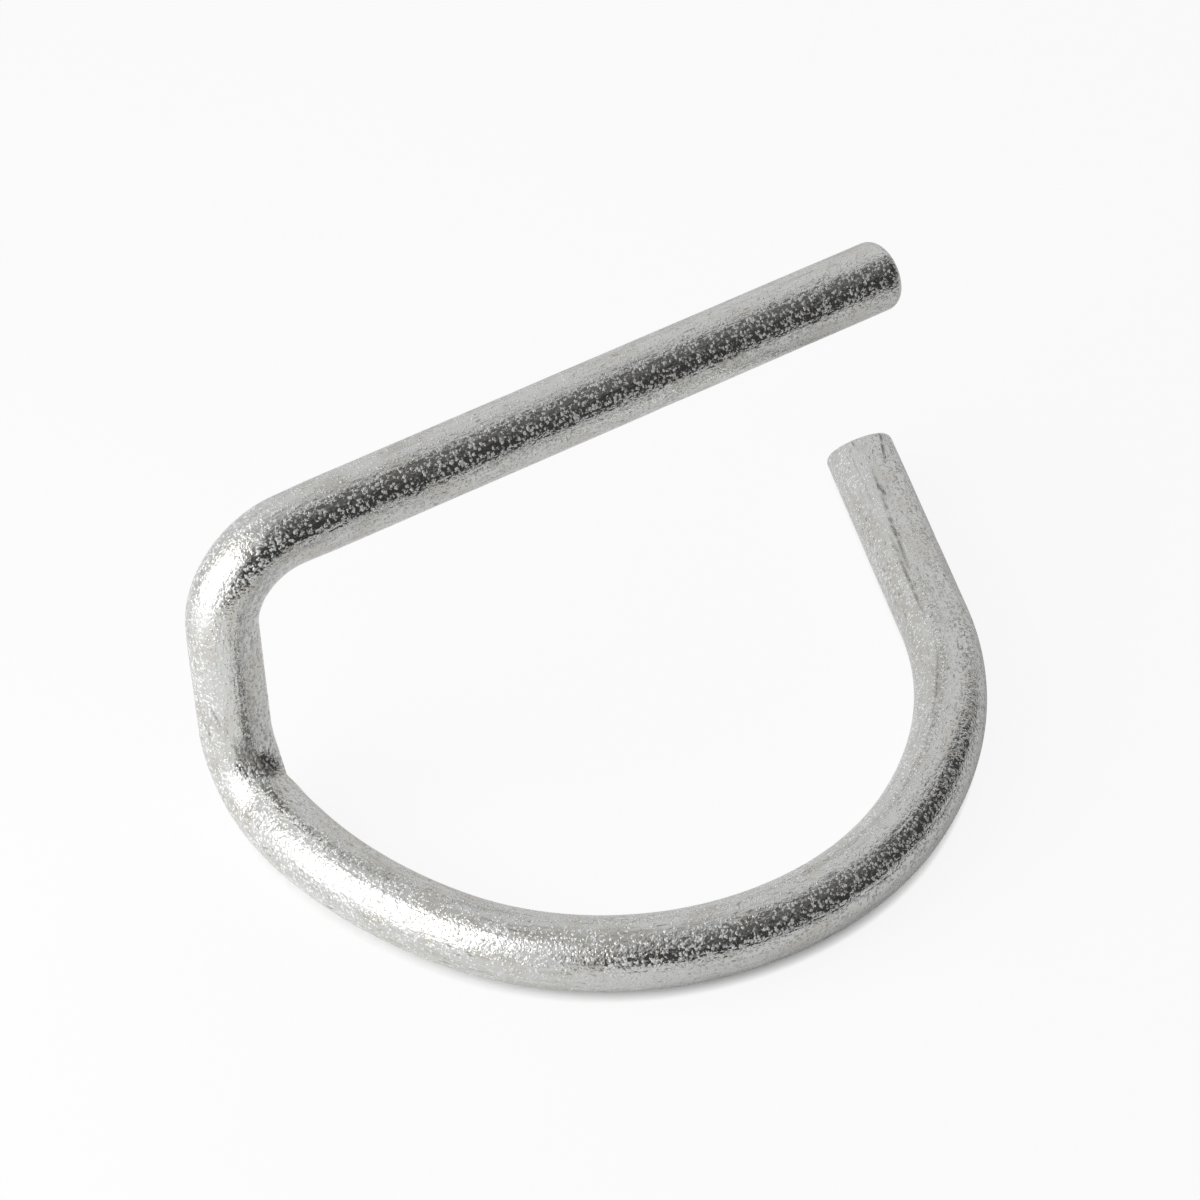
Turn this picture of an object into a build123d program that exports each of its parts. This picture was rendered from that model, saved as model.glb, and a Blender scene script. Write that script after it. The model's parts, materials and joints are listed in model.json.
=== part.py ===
from build123d import *
import math
import os

# Scaffold pigtail pin: one length of round steel rod, cold bent, with both ends sheared off.
# The straight shank goes through the cross holes of a tube and its socket. Behind it the rod
# drops at right angles, turns out sideways and curls back beneath the shank's tip. This curl
# is the pigtail: it swings round the tube under its own weight and keeps the pin from
# working out.
#
# Row frame, in millimetres: the origin is on the shank's axis, halfway along its straight
# stretch. +X runs along the shank to its tip and +Z is up. The pigtail lies in a plane
# parallel to the shank and below it, and leaves the head towards -Y.

# Rod
rod_diameter = 8.0

# Shank: the straight stretch, from the tip to the head bend
shank_length = 76.5

# Head: a short drop between two tight right-angle bends. Every bend's radius is that of the
# tool it is formed round, so it is measured on the inside of the bend.
head_bend_radius = 5.0
drop_length = 14.0
tail_bend_radius = 3.5

# Pigtail: three arcs, each tangent to the next, and a straight free end, which is measured
# along its axis to the cut
entry_arc_radius = 51.5
entry_arc_angle = 28.5
loop_arc_radius = 31.0
loop_arc_angle = 91.5
closing_arc_radius = 42.5
closing_arc_angle = 41.0
free_end_length = 32.5

# Sheared ends: the tip is cut square. The free end is cut aslant, shortest on top, and the
# cut is turned a little round the rod towards the inside of the pigtail.
free_end_slant = 40.0
free_end_cut_turn = 15.0

# The rim of each cut is rounded
tip_edge_radius = 1.7
free_end_edge_radius = 1.0

RIGHT_ANGLE = 90
rod_radius = rod_diameter / 2
section = Circle(rod_radius)


def straight_run(start, length):
    """A straight stretch of rod along the start's Z, and the place where it ends."""
    run = start * extrude(section, amount=length)
    return run, start * Pos(0, 0, length)


def bent_run(start, inside_radius, angle):
    """A stretch of rod bent from the start's Z towards its X, and the place where it ends."""
    radius = inside_radius + rod_radius
    run = start * revolve(section, axis=Axis((radius, 0, 0), (0, 1, 0)), revolution_arc=angle)
    return run, start * Pos(radius, 0, 0) * Rot(0, angle, 0) * Pos(-radius, 0, 0)


def slanted_run(start, length, slant, turn):
    """A straight stretch of rod cut aslant, shortest on the start's Y side, and its cut."""
    overlong_run = start * extrude(section, amount=length + rod_diameter / math.cos(math.radians(slant)))
    cut = start * Pos(0, 0, length) * Rot(0, 0, -turn) * Rot(-slant, 0, 0)
    return split(overlong_run, bisect_by=Plane(cut), keep=Keep.BOTTOM), cut


def ease_end(rod, cut, edge_radius):
    """The rod with the rim of its cut face rounded."""
    cut_face = rod.faces().sort_by_distance(cut.position)[0]
    return fillet(cut_face.edges(), edge_radius)


# The rod is followed from the tip backwards, in the order in which it is bent. At the tip,
# the place's Z points back along the shank and its X points down, to where the rod drops.
tip = Plane((shank_length / 2, 0, 0), x_dir=(0, 0, -1), z_dir=(-1, 0, 0)).location
shank, place = straight_run(tip, shank_length)
head_bend, place = bent_run(place, head_bend_radius, RIGHT_ANGLE)
drop, place = straight_run(place, drop_length)

# The rod is turned a quarter round its own axis, so that the tail bend leaves sideways, and
# turned back, so that the pigtail curls round below the shank.
place = place * Rot(0, 0, RIGHT_ANGLE)
tail_bend, place = bent_run(place, tail_bend_radius, RIGHT_ANGLE)
place = place * Rot(0, 0, -RIGHT_ANGLE)

entry_arc, place = bent_run(place, entry_arc_radius, entry_arc_angle)
loop_arc, place = bent_run(place, loop_arc_radius, loop_arc_angle)
closing_arc, place = bent_run(place, closing_arc_radius, closing_arc_angle)
free_end, free_end_cut = slanted_run(place, free_end_length, free_end_slant, free_end_cut_turn)

pigtail_pin = shank + [head_bend, drop, tail_bend, entry_arc, loop_arc, closing_arc, free_end]
pigtail_pin = ease_end(pigtail_pin, tip, tip_edge_radius)
pigtail_pin = ease_end(pigtail_pin, free_end_cut, free_end_edge_radius)

os.makedirs("parts", exist_ok=True)
export_step(pigtail_pin, "parts/pigtail_pin.step")
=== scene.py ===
import bisect
import json
import math
import random

import bmesh
import bpy
from bpy.props import FloatProperty, FloatVectorProperty, IntProperty, PointerProperty
from bpy.types import Operator, Panel, PropertyGroup
from mathutils import Matrix, Vector, noise


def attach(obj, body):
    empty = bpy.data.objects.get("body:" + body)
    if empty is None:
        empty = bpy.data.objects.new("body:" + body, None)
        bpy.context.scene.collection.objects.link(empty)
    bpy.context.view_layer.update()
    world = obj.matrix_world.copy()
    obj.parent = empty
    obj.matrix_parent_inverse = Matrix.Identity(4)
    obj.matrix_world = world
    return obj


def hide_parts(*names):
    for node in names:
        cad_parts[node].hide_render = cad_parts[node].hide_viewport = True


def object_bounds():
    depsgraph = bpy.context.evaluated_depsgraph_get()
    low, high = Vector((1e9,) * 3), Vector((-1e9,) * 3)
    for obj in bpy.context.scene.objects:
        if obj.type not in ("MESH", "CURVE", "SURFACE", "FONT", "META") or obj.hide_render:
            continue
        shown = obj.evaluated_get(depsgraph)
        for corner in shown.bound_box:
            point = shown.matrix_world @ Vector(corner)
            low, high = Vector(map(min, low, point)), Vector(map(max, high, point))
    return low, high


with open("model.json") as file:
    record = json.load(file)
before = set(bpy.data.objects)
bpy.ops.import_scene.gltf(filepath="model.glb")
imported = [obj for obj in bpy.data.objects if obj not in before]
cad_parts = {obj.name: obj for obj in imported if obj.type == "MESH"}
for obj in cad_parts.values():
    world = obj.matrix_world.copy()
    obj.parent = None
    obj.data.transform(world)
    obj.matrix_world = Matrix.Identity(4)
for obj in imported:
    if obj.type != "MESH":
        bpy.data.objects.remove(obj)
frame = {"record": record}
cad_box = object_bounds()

bl_info = {
    "name": "Scaffold pigtail pin",
    "version": (1, 0, 0),
    "blender": (4, 5, 0),
    "location": "3D View > Sidebar > Pigtail Pin",
    "description": (
        "Bends a zinc plated rod into a scaffold pigtail pin and sets it on a pale studio floor"
    ),
    "category": "Add Mesh",
}

SHANK_MOUNT = next(m for m in frame["record"]["mounts"] if m["name"] == "shank")
ROD_RADIUS = SHANK_MOUNT["dims"]["r_mm"] / 1000
FLOOR_HEIGHT = cad_box[0].z
RIGHT_ANGLE = math.pi / 2


def length(name, description, default):
    return FloatProperty(
        name=name, description=description, default=default, min=0, precision=5, unit="LENGTH"
    )


def angle(name, description, degrees):
    return FloatProperty(
        name=name, description=description, default=math.radians(degrees), subtype="ANGLE"
    )


def amount(name, description, default):
    return FloatProperty(name=name, description=description, default=default, min=0)


def colour(name, description, default):
    return FloatVectorProperty(
        name=name, description=description, default=default, min=0, max=1, subtype="COLOR"
    )


class PinShape(PropertyGroup):
    """The rod's straight stretches and bends, in the order in which it is bent from the tip."""

    rod_radius: length("Rod Radius", "Half the rod's thickness", ROD_RADIUS)
    shank_length: length("Shank Length", "Straight stretch from the tip to the head", 0.0765)
    head_bend_radius: length(
        "Head Bend Radius", "Inside radius of the bend behind the shank", 0.005
    )
    drop_length: length("Drop Length", "Straight stretch between the two tight bends", 0.014)
    tail_bend_radius: length(
        "Tail Bend Radius", "Inside radius of the bend into the pigtail", 0.0035
    )
    entry_arc_radius: length(
        "Entry Arc Radius", "Inside radius of the pigtail's first arc", 0.0515
    )
    entry_arc_angle: angle("Entry Arc Angle", "Turn of the pigtail's first arc", 28.5)
    loop_arc_radius: length("Loop Arc Radius", "Inside radius of the pigtail's middle arc", 0.031)
    loop_arc_angle: angle("Loop Arc Angle", "Turn of the pigtail's middle arc", 91.5)
    closing_arc_radius: length("Closing Arc Radius", "Inside radius of the last arc", 0.0425)
    closing_arc_angle: angle("Closing Arc Angle", "Turn of the last arc", 41.0)
    free_end_length: length("Free End Length", "Straight stretch to the slanted cut", 0.0325)
    free_end_slant: angle("Free End Slant", "Lean of the free end's cut from square", 40.0)
    free_end_cut_turn: angle("Free End Cut Turn", "Turn of the slanted cut round the rod", 15.0)
    tip_rim: length("Tip Rim", "Rounding round the tip's cut", 0.0017)
    free_end_rim: length("Free End Rim", "Rounding round the slanted cut", 0.001)


class PinWear(PropertyGroup):
    """What bending, rolling and handling leave on the rod."""

    bend_flattening: length("Bend Flattening", "How far a tight bend's outer side sinks", 0.00022)
    head_necking: length(
        "Head Necking", "How much thinner the stretched head is, in radius", 0.00006
    )
    crease_depth: length("Crease Depth", "Depth of the crease inside the tail bend", 0.00072)
    crease_turn: angle("Crease Turn", "Where the crease lies round the bend", -80)
    waviness: length("Waviness", "Depth of the rod's slow unevenness", 0.00003)
    wrinkle_depth: length("Wrinkle Depth", "Depth of the wrinkles inside the tail bend", 0.0001)
    pit_depth: length("Pit Depth", "Depth of the small dents", 0.00004)
    tear_depth: length("Tear Depth", "Unevenness of the two sheared faces", 0.00006)
    pit_count: IntProperty(name="Pits", description="Number of small dents", default=160, min=0)


class ZincFinish(PropertyGroup):
    """The colour and grain of the zinc coat."""

    zinc_colour: colour("Zinc", "Colour of the bright zinc", (0.75, 0.755, 0.735))
    frost_colour: colour("Frosted Zinc", "Colour of the pale matt grains", (0.92, 0.925, 0.91))
    stained_colour: colour("Stained Zinc", "Colour of the smooth stains", (0.69, 0.675, 0.635))
    # The colour that the flecks, the wear and the painted shade in the tail bend blend towards
    dull_and_shade_colour: colour("Dull Zinc", "Colour of the duller flecks", (0.26, 0.245, 0.22))
    zinc_roughness: amount("Roughness", "Roughness of the bright zinc", 0.16)
    grain_depth: length("Grain Depth", "Depth of the coat's grain", 0.00009)


class StageSettings(PropertyGroup):
    """The floor, the light and the camera."""

    floor_colour: colour("Floor", "Colour of the floor", (0.96, 0.96, 0.96))
    floor_glow: amount("Floor Glow", "Share of plain white in the floor that is seen", 0.9)
    backdrop_level: amount("Backdrop Level", "Brightness of the surroundings", 0.7)
    unlit_level: amount("Unlit Level", "Brightness of the unlit side of the studio", 0.044)
    unlit_azimuth: angle("Unlit Azimuth", "Where the unlit side lies, from -Y towards +X", 30)
    unlit_distance: length("Unlit Distance", "How far off the floor lies unlit there", 0.15)
    ceiling_level: amount("Ceiling Level", "Brightness of the ceiling straight above", 0.48)
    softbox_power: amount("Softbox Power", "Power of the soft lamp, in watts", 0.29)
    softbox_width: length("Softbox Width", "Width of the soft lamp", 0.17)
    softbox_height: length("Softbox Height", "Height of the soft lamp", 0.18)
    softbox_distance: length("Softbox Distance", "From the pin to the soft lamp", 0.22)
    softbox_azimuth: angle(
        "Softbox Azimuth", "Where the soft lamp stands, from -Y towards +X", -93
    )
    softbox_elevation: angle("Softbox Elevation", "Height of the soft lamp's middle", 19)
    lens: FloatProperty(name="Lens", description="Focal length", default=163.09, unit="CAMERA")
    camera_distance: length("Camera Distance", "From the camera to what it looks at", 0.585)
    camera_azimuth: angle("Camera Azimuth", "Turn of the camera from -Y towards -X", 29.664)
    camera_elevation: angle("Camera Elevation", "Height of the camera above the floor", 40.202)
    camera_roll: angle("Camera Roll", "Turn of the camera about its line of sight", -3.934)


def moved(place, distance):
    """The place that lies further along the rod, whose +Z runs along it."""
    return place @ Matrix.Translation((0, 0, distance))


def turned(place, radius, turn):
    """The place that a bend towards the place's +X has reached after that turn."""
    centre = Matrix.Translation((radius, 0, 0))
    return place @ centre @ Matrix.Rotation(turn, 4, "Y") @ centre.inverted()


def eased(share):
    """A smooth rise from 0 to 1."""
    share = min(max(share, 0.0), 1.0)
    return share * share * (3 - 2 * share)


def hump(distance, start, end, lead):
    """1 between the start and the end, easing to 0 over the lead on both sides."""
    return eased((distance - start + lead) / lead) * eased((end + lead - distance) / lead)


def bend_share(distance, start, end, lead):
    """0 up to the lead before a bend, 1 at its middle, and 0 again past the lead behind it."""
    share = (distance - start + lead) / (end - start + 2 * lead)
    return math.sin(math.pi * min(max(share, 0), 1)) ** 2


def unit_noise(point):
    """Smooth noise from 0 to 1."""
    return 0.5 + 0.5 * noise.noise(point)


def direction(azimuth, elevation):
    """The way that leads from the pin there, with the azimuth turning from -Y towards +X."""
    level = math.cos(elevation)
    return Vector(
        (level * math.sin(azimuth), -level * math.cos(azimuth), math.sin(elevation))
    )


class Rod:
    """A round rod that grows run by run from its tip.

    The place is the growing end: its +Z runs along the rod and its +X points to the centre of
    the next bend. Each vertex keeps where it lies on the straight rod, in the attribute "rod":
    the distance from the tip, then its two coordinates across the rod. A second attribute holds
    how far the zinc is darkened there: wear along most scratched grooves, and painted shade in
    the tail bend's crease, on the marks at the tail bend and on the one near the free end's cut.
    """

    SIDES = 160
    RING_SPACING = 0.0005
    WELD_DISTANCE = 0.000005

    def __init__(self, place, radius):
        self.bm = bmesh.new()
        self.spot = self.bm.verts.layers.float_vector.new("rod")
        # How far the zinc is darkened: wear along scratched grooves, and painted shade in the
        # tail bend and near the free end's cut
        self.worn_and_shaded = self.bm.verts.layers.float.new("worn_and_shaded")
        self.radius = radius
        self.place = place
        self.distance = 0.0
        self.turn = 0.0
        self.places = [(0.0, place)]

    def start(self, radius, cap=False):
        """A ring at the growing end, in a mesh of its own."""
        run = bmesh.new()
        spot = run.verts.layers.float_vector.new("rod")
        bmesh.ops.create_circle(
            run, cap_ends=cap, segments=self.SIDES, radius=radius, matrix=self.place
        )
        untwist = Matrix.Rotation(self.turn, 4, "Z") @ self.place.inverted()
        for vert in run.verts:
            across = untwist @ vert.co
            vert[spot] = (self.distance, across.x, across.y)
        return run, spot

    def join(self, run):
        """Adds a finished run to the rod."""
        mesh = bpy.data.meshes.new("run")
        run.to_mesh(mesh)
        run.free()
        self.bm.from_mesh(mesh)
        bpy.data.meshes.remove(mesh)

    def sweep(self, steps, next_place, length_of_run, **motion):
        """A run of full thickness: one ring, spun or pushed on in that many steps."""
        run, spot = self.start(self.radius)
        bmesh.ops.spin(run, geom=run.edges[:], steps=steps, **motion)
        for i in range(1, steps + 1):
            self.place = next_place(self.place)
            self.distance += length_of_run / steps
            self.places.append((self.distance, self.place))
            for vert in run.verts[i * self.SIDES : (i + 1) * self.SIDES]:
                vert[spot] = (self.distance, *vert[spot].yz)
        self.join(run)

    def straight(self, run):
        """A straight run of that length."""
        steps = max(1, round(run / self.RING_SPACING))
        along = self.place.to_3x3() @ Vector((0, 0, run / steps))
        self.sweep(steps, lambda place: moved(place, run / steps), run, dvec=along, angle=0.0)

    def bend(self, inside_radius, turn):
        """A bend towards the place's +X, and the distances at which it starts and ends."""
        start = self.distance
        radius = inside_radius + self.radius
        steps = max(1, round(radius * turn / self.RING_SPACING))
        self.sweep(
            steps,
            lambda place: turned(place, radius, turn / steps),
            radius * turn,
            cent=self.place @ Vector((radius, 0, 0)),
            axis=self.place.col[1].xyz,
            angle=turn,
        )
        return start, self.distance

    def roll(self, turn):
        """Turns the growing end about the rod, so that the next bend leads another way."""
        self.turn += turn
        self.place = self.place @ Matrix.Rotation(turn, 4, "Z")

    def place_at(self, distance):
        """The place of the last ring up to that distance from the tip."""
        i = bisect.bisect(self.places, distance, key=lambda known: known[0])
        return self.places[max(i - 1, 0)][1]

    def finished(self):
        """The rod's mesh, with its runs welded together."""
        bmesh.ops.remove_doubles(self.bm, verts=self.bm.verts, dist=self.WELD_DISTANCE)
        return self.bm


RIM_SEGMENTS = 10
FACE_RINGS = 5
# Scales of noise are per metre, here and below
TEAR_SCALE = 900
# How far before the slanted cut the rings start to lean, in multiples of its own lean
CUT_LEAD = 2.5


def tear_face(run, face, depth):
    """Divides a sheared face into rings and leaves it slightly uneven."""
    inward = -face.normal
    centre = face.calc_center_median()
    width = min((vert.co - centre).length for vert in face.verts) / (FACE_RINGS + 1)
    for _ in range(FACE_RINGS):
        bmesh.ops.inset_region(run, faces=[face], thickness=width, use_even_offset=True)
        for vert in face.verts:
            vert.co += inward * depth * unit_noise(vert.co * TEAR_SCALE)


def next_ring(run, edges):
    """Draws a new ring of faces from the edges, and gives its verts and its edges."""
    made = bmesh.ops.extrude_edge_only(run, edges=edges)["geom"]
    verts = {g for g in made if isinstance(g, bmesh.types.BMVert)}
    edges = [g for g in made if isinstance(g, bmesh.types.BMEdge) and verts.issuperset(g.verts)]
    return verts, edges


def square_end(rod, rim, wear):
    """The tip: a flat face, and a rounded rim that widens to the rod's full thickness."""
    run, spot = rod.start(rod.radius - rim, cap=True)
    face = run.faces[:][0]
    edges = run.edges[:]
    for i in range(1, RIM_SEGMENTS + 1):
        lean = RIGHT_ANGLE * i / RIM_SEGMENTS
        along = rim * (1 - math.cos(lean))
        reach = rod.radius - rim + rim * math.sin(lean)
        verts, edges = next_ring(run, edges)
        for vert in verts:
            across = vert[spot].yz.normalized() * reach
            vert.co = rod.place @ Vector((*across, along))
            vert[spot] = (along, *across)
    tear_face(run, face, wear.tear_depth)
    rod.place = moved(rod.place, rim)
    rod.distance += rim
    rod.places.append((rod.distance, rod.place))
    rod.join(run)


def slanted_end(rod, length_of_run, slant, turn, rim, wear):
    """A straight stretch up to a slanted cut whose rim is rounded as by a ball."""
    facing = (
        Matrix.Rotation(-turn, 3, "Z") @ Matrix.Rotation(-slant, 3, "X") @ Vector((0, 0, 1))
    )
    lead = CUT_LEAD * rod.radius * math.tan(slant)
    rod.straight(length_of_run - lead)
    run, spot = rod.start(rod.radius)
    untwisted = Matrix.Rotation(-rod.turn, 2)
    edges = run.edges[:]
    steps = round(lead / rod.RING_SPACING)
    for i in range(1, steps + RIM_SEGMENTS + 1):
        verts, edges = next_ring(run, edges)
        for vert in verts:
            side = Vector((*(untwisted @ vert[spot].yz), 0)).normalized()
            core = side * (rod.radius - rim)
            ball = core + Vector((0, 0, lead - (rim + core.dot(facing)) / facing.z))
            if i <= steps:
                local = side * rod.radius + Vector((0, 0, ball.z * i / steps))
            else:
                local = ball + rim * side.slerp(facing, (i - steps) / RIM_SEGMENTS)
            vert.co = rod.place @ local
            vert[spot] = (rod.distance + local.z, *vert[spot].yz)
    cut = bmesh.ops.contextual_create(run, geom=edges)["faces"][0]
    cut.normal_update()
    if cut.normal.dot(rod.place.to_3x3() @ facing) < 0:
        cut.normal_flip()
    tear_face(run, cut, wear.tear_depth)
    for i in range(1, 2 * steps):
        ahead = i * rod.RING_SPACING
        rod.places.append((rod.distance + ahead, moved(rod.place, ahead)))
    rod.join(run)


# How far the thinning and the flattening reach past the bends
THINNING_LEAD = 0.005
FLATTENING_LEAD = 0.003


def work_head(rod, bm, wear, bends):
    """Flattens each tight bend on its outer side and thins the stretched head."""
    head_start, head_end = bends[0][0], bends[-1][1]
    for vert in bm.verts:
        distance = vert[rod.spot].x
        thin = hump(distance, head_start, head_end, THINNING_LEAD)
        if thin <= 0:
            continue
        flat = sum(bend_share(distance, *bend, FLATTENING_LEAD) for bend in bends)
        place = rod.place_at(distance)
        across = place.inverted() @ vert.co
        thinned = 1 - thin * wear.head_necking / rod.radius
        sunk = flat * wear.bend_flattening / 2
        across.x = across.x * (thinned - sunk / rod.radius) + sunk
        across.y *= thinned
        vert.co = place @ across


# Where the pressed place starts, as a share of the tail bend, and where the crease lies, as a
# share of the pressed place
PRESSED_FROM = 0.3
CREASE_AT = 0.66
WRINKLES_ALONG = 900
WRINKLES_ACROSS = 1600
# How dark the painted shade in the crease is, and how much darker the deeper wrinkles are painted
PAINTED_CREASE_SHADE = 0.1
PAINTED_WRINKLE_SHADE = 0.12


def fold_crease(rod, bm, wear, bend):
    """Presses in the flat place inside the tail bend, deepest at the crease, and paints shade
    into it that is darkest around the crease.
    """
    start, end = (1 - PRESSED_FROM) * bend[0] + PRESSED_FROM * bend[1], bend[1]
    fold = start + CREASE_AT * (end - start)
    lean = Vector((math.cos(wear.crease_turn), math.sin(wear.crease_turn), 0))
    for vert in bm.verts:
        distance = vert[rod.spot].x
        if start < distance < end:
            place = rod.place_at(distance)
            across = place.inverted() @ vert.co
            near = min((distance - start) / (fold - start), (end - distance) / (end - fold))
            over = across.dot(lean) - (rod.radius - wear.crease_depth * near)
            if over > 0:
                wrinkle = noise.noise(
                    Vector((distance * WRINKLES_ALONG, across.y * WRINKLES_ACROSS, 0))
                )
                across -= lean * (over + wear.wrinkle_depth * (0.5 + 0.5 * wrinkle) * near)
                vert.co = place @ across
                # Painted shade in the crease, darker in the deeper wrinkles
                painted_shade = PAINTED_CREASE_SHADE + PAINTED_WRINKLE_SHADE * wrinkle
                vert[rod.worn_and_shaded] = eased(2 * near) * painted_shade


# Scratches and marks of painted shade: the distances from the tip at which each starts and ends,
# where round the rod it lies at both in degrees, half its width, and its depth. Each is a groove
# whose darkening is wear, except where it is said below to be painted shade
SCRATCHES_AND_PAINTED_SHADE = (
    (0.0988, 0.1013, 151, 138, 0.00016, 0.00012),
    # The next six paint the dark patch where the drop runs into the tail bend as shade, over
    # their grooves
    (0.1030, 0.1080, 117, 114, 0.00022, 0.00018),
    (0.1034, 0.1092, 109, 107, 0.00020, 0.00016),
    (0.1044, 0.1106, 103, 100, 0.00024, 0.00018),
    (0.1040, 0.1102, 96, 95, 0.00020, 0.00016),
    (0.1058, 0.1116, 89, 88, 0.00022, 0.00012),
    (0.1066, 0.1112, 112, 108, 0.00018, 0.00010),
    # Grooves that are darkened by wear
    (0.1844, 0.1862, 107, 107, 0.00020, 0.00015),
    (0.2120, 0.2240, 68, 71, 0.00020, 0.00004),
    (0.2300, 0.2450, 62, 63, 0.00018, 0.00007),
    (0.2350, 0.2570, 67, 81, 0.00020, 0.00008),
    (0.2513, 0.2537, 82, 82, 0.00018, 0.00012),
    # This one paints a line of shade along the free end near its cut
    (0.2570, 0.2640, 105, 124, 0.00015, 0.00006),
)
# How much the marks darken the zinc: wear on the scratched grooves, painted shade on the marks
# said to paint it
SCRATCH_DULLING_AND_SHADE = 0.8
SCRATCH_BREAKS_ALONG = 1200
SCRATCH_BREAKS_ROUND = 9
PIT_SIZES = (0.0003, 0.0008)
# Dents are looked up by where they lie along the rod, in this many bins a metre
PIT_BINS = 500
WAVES_ALONG = 110
WAVES_ACROSS = 330


def roughen(rod, bm, wear, scratches_and_shade, seed):
    """Slow unevenness, scratched grooves and small dents, all of them sunk into the surface; the
    grooves also darken the zinc, with wear on most and painted shade on the marks at the tail
    bend and near the free end.
    """
    chance = random.Random(seed)
    pits = [
        (
            chance.uniform(0, rod.places[-1][0]),
            chance.uniform(-math.pi, math.pi),
            chance.uniform(*PIT_SIZES),
            chance.random(),
        )
        for _ in range(wear.pit_count)
    ]
    bins = {}
    for pit in pits:
        for step in range(-1, 2):
            bins.setdefault(round(pit[0] * PIT_BINS) + step, []).append(pit)
    for vert in bm.verts:
        s, x, y = vert[rod.spot]
        around = math.atan2(y, x)
        wave = Vector((s * WAVES_ALONG, x * WAVES_ACROSS, y * WAVES_ACROSS))
        sink = wear.waviness * unit_noise(wave)
        for start, end, first, last, width, depth in scratches_and_shade:
            if start < s < end:
                where = math.radians(first + (last - first) * (s - start) / (end - start))
                off = math.remainder(around - where, 2 * math.pi) * rod.radius / width
                fade = math.sin(math.pi * (s - start) / (end - start)) ** 0.5
                spot = Vector((s * SCRATCH_BREAKS_ALONG, where * SCRATCH_BREAKS_ROUND, 0))
                broken = eased(0.9 + 2 * noise.noise(spot))
                share = math.exp(-off * off) * fade * broken
                sink += depth * share
                # Darkens the zinc along the mark: wear on the scratched grooves, painted shade on
                # the marks at the tail bend and near the free end's cut
                vert[rod.worn_and_shaded] = max(vert[rod.worn_and_shaded], SCRATCH_DULLING_AND_SHADE * share)
        for along, where, size, depth in bins.get(round(s * PIT_BINS), ()):
            off = math.hypot(s - along, math.remainder(around - where, 2 * math.pi) * rod.radius)
            sink += wear.pit_depth * depth * math.exp(-((off / size) ** 2))
        vert.co -= vert.normal * sink


# The sockets of a Mix node that mixes colours
MIX_SHARE, MIX_FIRST, MIX_SECOND, MIX_RESULT = 0, 6, 7, 2


class Wire:
    """A socket that Python's operators feed into Math nodes."""

    def __init__(self, graph, socket):
        self.graph, self.socket = graph, socket

    def maths(self, operation, *values):
        return self.graph.node(
            "ShaderNodeMath", {"operation": operation}, dict(enumerate(values))
        )

    def __add__(self, other):
        return self.maths("ADD", self, other)

    def __sub__(self, other):
        return self.maths("SUBTRACT", self, other)

    def __rsub__(self, other):
        return self.maths("SUBTRACT", other, self)

    def __mul__(self, other):
        return self.maths("MULTIPLY", self, other)

    __radd__ = __add__
    __rmul__ = __mul__


class Graph:
    """A node tree that is written one node at a time."""

    def __init__(self, tree):
        self.tree = tree
        tree.nodes.clear()

    def node(self, kind, settings=None, inputs=None, output=0):
        """Adds a node, makes its settings, then gives its sockets their values or links.

        The result is the wire from the output, or the node itself where the output is None.
        """
        node = self.tree.nodes.new(kind)
        for name, value in (settings or {}).items():
            setattr(node, name, value)
        for name, value in (inputs or {}).items():
            if isinstance(value, Wire):
                self.tree.links.new(value.socket, node.inputs[name])
            else:
                node.inputs[name].default_value = value
        if output is None:
            return node
        return Wire(self, node.outputs[output])

    def band(self, value, low, high):
        """0 below the low value and 1 above the high one, easing between them."""
        return self.node(
            "ShaderNodeMapRange",
            {"interpolation_type": "SMOOTHSTEP"},
            {"Value": value, "From Min": low, "From Max": high},
        )

    def blend(self, share, first, second):
        """From the first colour to the second."""
        return self.node(
            "ShaderNodeMix",
            {"data_type": "RGBA"},
            {MIX_SHARE: share, MIX_FIRST: first, MIX_SECOND: second},
            MIX_RESULT,
        )


def opaque(shade):
    """The colour with its alpha, as sockets take it."""
    return (*shade, 1.0)


CRYSTAL_SCALE = 2500.0
CRYSTAL_SWAY_SCALE = 4200.0
CRYSTAL_SWAY = 0.0005
# How near its middle a crystal still sparkles, and how far out frost reaches
SPARKLE_EDGE = (0.62, 0.1)
FROST_EDGE = (0.62, 0.3)


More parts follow.
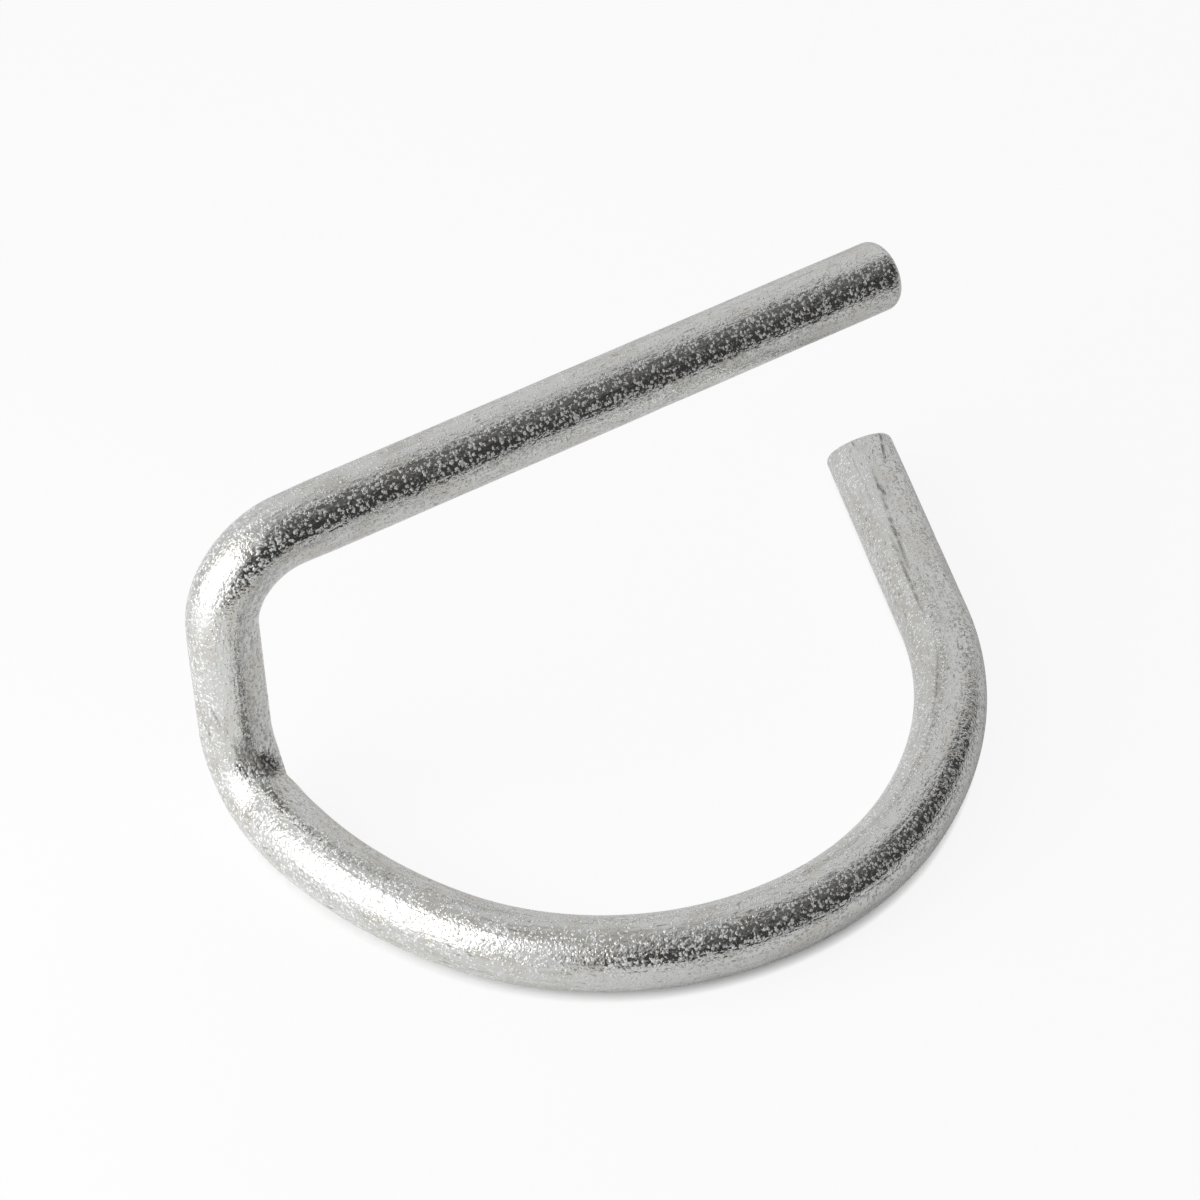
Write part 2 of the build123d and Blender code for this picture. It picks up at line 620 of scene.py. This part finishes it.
def zinc_material(finish):
    """Bright zinc with frosted crystals, soft stains, and small darker flecks along the rod,
    darkened further by the mesh's wear and painted shade.
    """
    material = bpy.data.materials.new("galvanised_steel")
    material.use_nodes = True
    g = Graph(material.node_tree)
    at = g.node("ShaderNodeTexCoord", output="Object")
    rod = g.node("ShaderNodeAttribute", {"attribute_name": "rod"}, output="Vector")

    def along_rod(share):
        """The place on the straight rod, with its length drawn together to that share."""
        return g.node(
            "ShaderNodeVectorMath", {"operation": "MULTIPLY"}, {0: rod, 1: (share, 1, 1)}
        )

    def grain(vector, scale, detail, roughness=0.5):
        return g.node(
            "ShaderNodeTexNoise",
            inputs={"Vector": vector, "Scale": scale, "Detail": detail, "Roughness": roughness},
        )

    sway = g.node(
        "ShaderNodeTexNoise",
        inputs={"Vector": at, "Scale": CRYSTAL_SWAY_SCALE, "Detail": 1.0},
        output="Color",
    )
    uneven = g.node(
        "ShaderNodeVectorMath",
        {"operation": "MULTIPLY_ADD"},
        {0: sway, 1: [CRYSTAL_SWAY] * 3, 2: at},
    )

    def cells(output):
        """The zinc's crystals, with uneven outlines."""
        return g.node(
            "ShaderNodeTexVoronoi",
            inputs={"Vector": uneven, "Scale": CRYSTAL_SCALE},
            output=output,
        )

    fine = grain(at, 3600.0, 1.0)
    coarse = grain(at, 1300.0, 1.0)
    lumpy = grain(along_rod(0.5), 450.0, 2.0)
    streaks = grain(along_rod(0.1), 2200.0, 2.0)
    chosen = g.node("ShaderNodeSeparateColor", inputs={0: cells("Color")}, output=0)
    apart = cells("Distance") + (1 - chosen) * 0.12
    crystals = g.band(apart, *SPARKLE_EDGE) * (0.3 + chosen * 0.7)
    frost = g.band(apart, *FROST_EDGE) * g.band(chosen + (lumpy - 0.5) * 1.4, 0.05, 0.6)
    flecks = g.band(grain(along_rod(0.3), 3000.0, 2.0), 0.6, 0.7)
    # The darkening that the mesh carries: wear along scratched grooves, and painted shade in the
    # tail bend's crease, on the marks at the tail bend and near the free end's cut
    wear_and_shade = g.node("ShaderNodeAttribute", {"attribute_name": "worn_and_shaded"}, output="Fac")
    # The share of the darker colour: random flecks, plus the mesh's wear and painted shade
    flecks_and_shade = flecks * g.band(grain(at, 160.0, 3.0), 0.4, 0.6) * 0.7 + wear_and_shade
    height = crystals * 0.85 + fine * (0.5 + wear_and_shade * 3.0) + coarse * 0.8 + streaks * 0.7
    bump = g.node(
        "ShaderNodeBump",
        inputs={"Strength": 1.0, "Distance": finish.grain_depth, "Height": height},
        output="Normal",
    )
    stains = g.band(lumpy, 0.52, 0.36)
    smooth = g.blend(stains, opaque(finish.zinc_colour), opaque(finish.stained_colour))
    bright = g.blend(frost, smooth, opaque(finish.frost_colour))
    shader = g.node(
        "ShaderNodeBsdfPrincipled",
        inputs={
            "Base Color": g.blend(
                flecks_and_shade + g.band(streaks, 0.5, 0.8) * 0.3, bright, opaque(finish.dull_and_shade_colour)
            ),
            "Metallic": (1 - frost * 0.9) * (1 - wear_and_shade),
            "Roughness": finish.zinc_roughness + frost * 0.3 + flecks_and_shade * 0.3,
            "Normal": bump,
        },
    )
    g.node("ShaderNodeOutputMaterial", inputs={"Surface": shader}, output=None)
    return material


# How near the pin the floor's glow fades
CONTACT_REACH = 0.0012
# The share of the floor's glow that reflections see
MIRRORED_GLOW = 0.2
# Where the floor's unlit part starts and is complete, as shares of its distance
UNLIT_FLOOR_EDGE = (0.7, 1.3)


def floor_material(stage):
    """A pale matt floor, which looks whiter than its light makes it but keeps its shadows."""
    material = bpy.data.materials.new("floor")
    material.use_nodes = True
    g = Graph(material.node_tree)
    path = g.node("ShaderNodeLightPath", output=None)
    mirrored = Wire(g, path.outputs["Is Glossy Ray"])
    seen = Wire(g, path.outputs["Is Camera Ray"]) + mirrored * MIRRORED_GLOW
    open_sky = g.node(
        "ShaderNodeAmbientOcclusion", {"samples": 1}, {"Distance": CONTACT_REACH}, "AO"
    )
    matt = g.node("ShaderNodeBsdfDiffuse", inputs={"Color": opaque(stage.floor_colour)})
    white = g.node("ShaderNodeEmission", inputs={"Color": (1, 1, 1, 1), "Strength": 1.0})
    share = seen * open_sky * stage.floor_glow
    near = g.node("ShaderNodeMixShader", inputs={0: share, 1: matt, 2: white})
    far = g.node(
        "ShaderNodeVectorMath",
        {"operation": "DOT_PRODUCT"},
        {0: g.node("ShaderNodeTexCoord", output="Object"), 1: direction(stage.unlit_azimuth, 0)},
        "Value",
    )
    unlit = mirrored * g.band(far, *(stage.unlit_distance * share for share in UNLIT_FLOOR_EDGE))
    dim = g.node("ShaderNodeEmission", inputs={"Strength": stage.unlit_level})
    floor = g.node("ShaderNodeMixShader", inputs={0: unlit, 1: near, 2: dim})
    g.node("ShaderNodeOutputMaterial", inputs={"Surface": floor}, output=None)
    return material


def add_object(name, bm, material, smooth):
    """Puts the finished mesh in the scene, at the origin."""
    bmesh.ops.recalc_face_normals(bm, faces=bm.faces)
    for face in bm.faces:
        face.smooth = smooth
    mesh = bpy.data.meshes.new(name)
    bm.to_mesh(mesh)
    bm.free()
    mesh.materials.append(material)
    piece = bpy.data.objects.new(name, mesh)
    bpy.context.scene.collection.objects.link(piece)
    return piece


class PIGTAIL_OT_bend_rod(Operator):
    """Bend the rod into the shank, the head and the pigtail, and give it its zinc finish"""

    bl_idname = "pigtail_pin.bend_rod"
    bl_label = "Bend Rod"

    def execute(self, context):
        shape, wear = context.scene.pigtail_shape, context.scene.pigtail_wear
        tip = Matrix.Translation((shape.shank_length / 2, 0, 0)) @ Matrix(
            ((0, 0, -1), (0, -1, 0), (-1, 0, 0))
        ).to_4x4()
        rod = Rod(tip, shape.rod_radius)
        square_end(rod, shape.tip_rim, wear)
        rod.straight(shape.shank_length - shape.tip_rim)
        head_bend = rod.bend(shape.head_bend_radius, RIGHT_ANGLE)
        rod.straight(shape.drop_length)
        rod.roll(RIGHT_ANGLE)
        tail_bend = rod.bend(shape.tail_bend_radius, RIGHT_ANGLE)
        rod.roll(-RIGHT_ANGLE)
        rod.bend(shape.entry_arc_radius, shape.entry_arc_angle)
        rod.bend(shape.loop_arc_radius, shape.loop_arc_angle)
        rod.bend(shape.closing_arc_radius, shape.closing_arc_angle)
        slanted_end(
            rod,
            shape.free_end_length,
            shape.free_end_slant,
            shape.free_end_cut_turn,
            shape.free_end_rim,
            wear,
        )
        bm = rod.finished()
        bmesh.ops.recalc_face_normals(bm, faces=bm.faces)
        work_head(rod, bm, wear, (head_bend, tail_bend))
        fold_crease(rod, bm, wear, tail_bend)
        bm.normal_update()
        roughen(rod, bm, wear, SCRATCHES_AND_PAINTED_SHADE, seed=4)
        pin = add_object("pigtail_pin_rod", bm, zinc_material(context.scene.pigtail_zinc), True)
        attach(pin, "root")
        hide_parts("pigtail_pin")
        return {"FINISHED"}


FLOOR_REACH = 6
# How high the unlit side's middle stands, and the cosines at which its light fades out
UNLIT_ELEVATION = math.radians(3)
UNLIT_EDGE = (0.18, 0.46)
# The heights, as sines, over which the unlit side pales and the ceiling takes over
UNLIT_PALING = (0.4, 0.8)
UNLIT_PALING_SHARE = 0.15
CEILING_EDGE = (0.8, 1.0)
CAMERA_TARGET = (-0.0087, -0.01333, -0.01525)
SENSOR_WIDTH = 36
CLIP_RANGE = (0.01, 50)


class PIGTAIL_OT_set_stage(Operator):
    """Set the pale floor, the soft light and the camera"""

    bl_idname = "pigtail_pin.set_stage"
    bl_label = "Set Stage"

    def execute(self, context):
        stage = context.scene.pigtail_stage
        self.lay_floor(stage)
        self.light(context, stage)
        self.aim_camera(context, stage)
        context.scene.view_settings.view_transform = "Standard"
        return {"FINISHED"}

    def lay_floor(self, stage):
        bm = bmesh.new()
        level = Matrix.Translation((0, 0, FLOOR_HEIGHT))
        bmesh.ops.create_grid(bm, x_segments=1, y_segments=1, size=FLOOR_REACH, matrix=level)
        floor = add_object("floor", bm, floor_material(stage), False)
        if floor.data.polygons[0].normal.z < 0:
            floor.data.flip_normals()

    def light(self, context, stage):
        world = bpy.data.worlds.new("surroundings")
        world.use_nodes = True
        g = Graph(world.node_tree)
        way = g.node("ShaderNodeTexCoord", output="Generated")
        unlit_way = direction(stage.unlit_azimuth, UNLIT_ELEVATION)
        facing = g.node(
            "ShaderNodeVectorMath", {"operation": "DOT_PRODUCT"}, {0: way, 1: unlit_way}, "Value"
        )
        height = g.node("ShaderNodeSeparateXYZ", inputs={0: way}, output="Z")
        paling = g.band(height, *UNLIT_PALING) * UNLIT_PALING_SHARE
        unlit = g.band(facing, *UNLIT_EDGE) * (1 - paling)
        ceiling = g.band(height, *CEILING_EDGE)
        walls = stage.backdrop_level + unlit * (stage.unlit_level - stage.backdrop_level)
        level = walls + ceiling * (1 - unlit) * (stage.ceiling_level - stage.backdrop_level)
        sky = g.node("ShaderNodeBackground", inputs={"Color": (1, 1, 1, 1), "Strength": level})
        g.node("ShaderNodeOutputWorld", inputs={"Surface": sky}, output=None)
        context.scene.world = world
        lamp = bpy.data.lights.new("softbox", "AREA")
        lamp.shape = "RECTANGLE"
        lamp.size, lamp.size_y = stage.softbox_width, stage.softbox_height
        lamp.energy = stage.softbox_power
        softbox = bpy.data.objects.new("softbox", lamp)
        softbox.visible_camera = False
        context.scene.collection.objects.link(softbox)
        away = direction(stage.softbox_azimuth, stage.softbox_elevation)
        softbox.location = stage.softbox_distance * away
        softbox.rotation_euler = (-away).to_track_quat("-Z", "Y").to_euler()

    def aim_camera(self, context, stage):
        camera = bpy.data.objects.new("camera", bpy.data.cameras.new("camera"))
        context.scene.collection.objects.link(camera)
        camera.data.lens = stage.lens
        camera.data.sensor_width = SENSOR_WIDTH
        turn = (
            Matrix.Rotation(-stage.camera_azimuth, 4, "Z")
            @ Matrix.Rotation(RIGHT_ANGLE - stage.camera_elevation, 4, "X")
            @ Matrix.Rotation(stage.camera_roll, 4, "Z")
        )
        aim = Matrix.Translation(CAMERA_TARGET)
        camera.matrix_world = aim @ turn @ Matrix.Translation((0, 0, stage.camera_distance))
        camera.data.clip_start, camera.data.clip_end = CLIP_RANGE
        context.scene.camera = camera


class PIGTAIL_PT_sidebar(Panel):
    """The pin's sizes, wear, finish and stage"""

    bl_idname = "PIGTAIL_PT_sidebar"
    bl_label = "Pigtail Pin"
    bl_space_type = "VIEW_3D"
    bl_region_type = "UI"
    bl_category = "Pigtail Pin"

    def draw(self, context):
        for group, (_, operator) in GROUPS.items():
            box = self.layout.box()
            settings = getattr(context.scene, group)
            for name in settings.bl_rna.properties.keys():
                if name not in {"rna_type", "name"}:
                    box.prop(settings, name)
            box.operator(operator.bl_idname)


# Each group of settings, with the operator that uses it
GROUPS = {
    "pigtail_shape": (PinShape, PIGTAIL_OT_bend_rod),
    "pigtail_wear": (PinWear, PIGTAIL_OT_bend_rod),
    "pigtail_zinc": (ZincFinish, PIGTAIL_OT_bend_rod),
    "pigtail_stage": (StageSettings, PIGTAIL_OT_set_stage),
}
CLASSES = (
    PinShape,
    PinWear,
    ZincFinish,
    StageSettings,
    PIGTAIL_OT_bend_rod,
    PIGTAIL_OT_set_stage,
    PIGTAIL_PT_sidebar,
)


def register():
    for cls in CLASSES:
        bpy.utils.register_class(cls)
    for name, (group, _) in GROUPS.items():
        setattr(bpy.types.Scene, name, PointerProperty(type=group))


def unregister():
    for name in GROUPS:
        delattr(bpy.types.Scene, name)
    for cls in reversed(CLASSES):
        bpy.utils.unregister_class(cls)


def main():
    register()
    bpy.ops.pigtail_pin.bend_rod()
    bpy.ops.pigtail_pin.set_stage()


if __name__ == "__main__":
    main()
